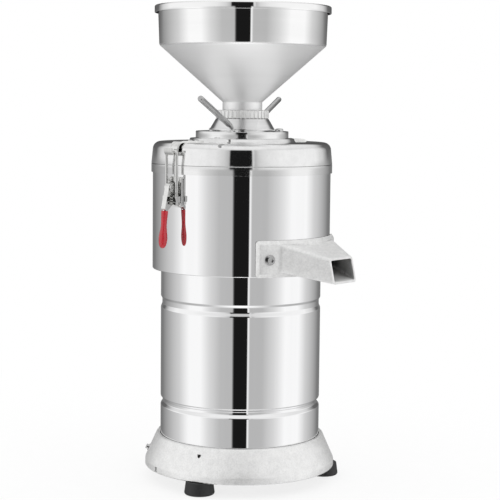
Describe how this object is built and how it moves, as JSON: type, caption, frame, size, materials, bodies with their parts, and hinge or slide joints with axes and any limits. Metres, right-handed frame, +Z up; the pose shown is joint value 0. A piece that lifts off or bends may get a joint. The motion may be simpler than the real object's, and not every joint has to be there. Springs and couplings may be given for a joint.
{
  "type": "nut butter machine",
  "caption": "Upright commercial nut grinder: conical steel hopper, adjustable grinding head, latched lid, steel shells, cast spout and cast base on rubber feet.",
  "frame": {"origin": "on the floor plane under the machine axis", "axes": "+Z up along the machine axis, -Y out of the spout, +X to the right when facing the spout"},
  "size_m": [0.3032, 0.3347, 0.658],
  "materials": {
    "cast_base": "sand-blasted casting",
    "cast_spout": "sand-blasted casting with a bright flange edge",
    "shell_steel": "mirror polished stainless sheet",
    "hopper_steel": "mirror polished spun stainless",
    "lid_metal": "polished casting",
    "bowl_cast": "turned casting",
    "turned_metal": "turned and polished",
    "ring_metal": "matt, fluted",
    "rod_steel": "polished rod",
    "latch_steel": "pressed stainless",
    "grip_vinyl": "glossy dipped vinyl",
    "screw_steel": "stainless screw",
    "foot_rubber": "matt",
    "seal_rubber": "matt",
    "black_plastic": "moulded",
    "disc_stone": "bonded emery",
    "motor_iron": "laminated and cast",
    "winding_copper": "varnished copper"
  },
  "bodies": {
    "frame": {"base_casting": "cast_base", "cable_gland": "black_plastic", "capacitor": "black_plastic", "earth_screw": "screw_steel", "flange_screw_1": "screw_steel", "flange_screw_2": "screw_steel", "flange_screw_3": "screw_steel", "foot_screw_1": "screw_steel", "foot_screw_2": "screw_steel", "foot_screw_3": "screw_steel", "grinding_bowl": "bowl_cast", "guide_flange": "turned_metal", "left_catch_plate": "latch_steel", "left_latch_base": "latch_steel", "left_spout_bolt": "screw_steel", "lid": "lid_metal", "lid_gasket": "seal_rubber", "lower_bearing": "turned_metal", "lower_bell": "motor_iron", "lower_shell": "shell_steel", "lower_winding": "winding_copper", "right_catch_plate": "latch_steel", "right_latch_base": "latch_steel", "right_spout_bolt": "screw_steel", "rubber_foot_1": "foot_rubber", "rubber_foot_2": "foot_rubber", "rubber_foot_3": "foot_rubber", "shaft_seal": "seal_rubber", "spout": "cast_spout", "spout_gasket": "seal_rubber", "stator_core": "motor_iron", "switch_frame": "black_plastic", "upper_bearing": "turned_metal", "upper_bell": "motor_iron", "upper_shell": "shell_steel", "upper_winding": "winding_copper"},
    "rotor": {"motor_shaft": "turned_metal", "rotor_core": "motor_iron", "cooling_fan": "black_plastic", "disc_holder": "bowl_cast", "rotating_disc": "disc_stone", "feed_screw": "turned_metal"},
    "sleeve": {"feed_sleeve": "turned_metal", "static_disc": "disc_stone"},
    "hub": {"adjusting_hub": "turned_metal", "front_handle": "rod_steel", "rear_handle": "rod_steel"},
    "ring": {"lock_ring": "ring_metal"},
    "hopper": {"hopper": "hopper_steel", "hopper_spigot": "hopper_steel"},
    "rocker": {"switch_rocker": "black_plastic"},
    "left_lever": {"left_latch_lever": "latch_steel", "left_latch_grip": "grip_vinyl"},
    "left_bail": {"left_latch_bail": "latch_steel", "left_latch_trunnion": "latch_steel"},
    "right_lever": {"right_latch_lever": "latch_steel", "right_latch_grip": "grip_vinyl"},
    "right_bail": {"right_latch_bail": "latch_steel", "right_latch_trunnion": "latch_steel"}
  },
  "joints": [
    {"name": "rotor_spin", "type": "hinge", "parent": "frame", "child": "rotor", "pos_m": [0, 0, 0.2], "axis": [0, 0, 1], "continuous": true},
    {"name": "grind_lift", "type": "slide", "parent": "frame", "child": "sleeve", "axis": [0, 0, 1], "range_m": [-0.00033, 0.00067]},
    {"name": "hub_turn", "type": "hinge", "parent": "sleeve", "child": "hub", "pos_m": [0, 0, 0.495], "axis": [0, 0, 1], "range_deg": [-60, 120]},
    {"name": "ring_turn", "type": "hinge", "parent": "sleeve", "child": "ring", "pos_m": [0, 0, 0.51], "axis": [0, 0, 1], "range_deg": [0, 30]},
    {"name": "hopper_lift", "type": "slide", "parent": "sleeve", "child": "hopper", "axis": [0, 0, 1], "range_m": [0, 0.06]},
    {"name": "rocker_tip", "type": "hinge", "parent": "frame", "child": "rocker", "pos_m": [0, 0.1101, 0.18], "axis": [1, 0, 0], "range_deg": [-16, 0]},
    {"name": "left_lever_turn", "type": "hinge", "parent": "frame", "child": "left_lever", "pos_m": [-0.13249, 0.01159, 0.412], "axis": [0.0872, 0.9962, 0], "range_deg": [0, 100]},
    {"name": "left_bail_turn", "type": "hinge", "parent": "left_lever", "child": "left_bail", "pos_m": [-0.13093, 0.01145, 0.39708], "axis": [0.0872, 0.9962, 0], "range_deg": [-82, 0]},
    {"name": "right_lever_turn", "type": "hinge", "parent": "frame", "child": "right_lever", "pos_m": [0.13249, -0.01159, 0.412], "axis": [-0.0872, -0.9962, 0], "range_deg": [0, 100]},
    {"name": "right_bail_turn", "type": "hinge", "parent": "right_lever", "child": "right_bail", "pos_m": [0.13093, -0.01145, 0.39708], "axis": [-0.0872, -0.9962, 0], "range_deg": [-82, 0]}
  ],
  "couplings": [
    {"joint": "grind_lift", "follows": "hub_turn", "m_per_rad": 0.00031831},
    {"joint": "left_bail_turn", "follows": "left_lever_turn", "ratio": -0.82},
    {"joint": "right_bail_turn", "follows": "right_lever_turn", "ratio": -0.82}
  ]
}
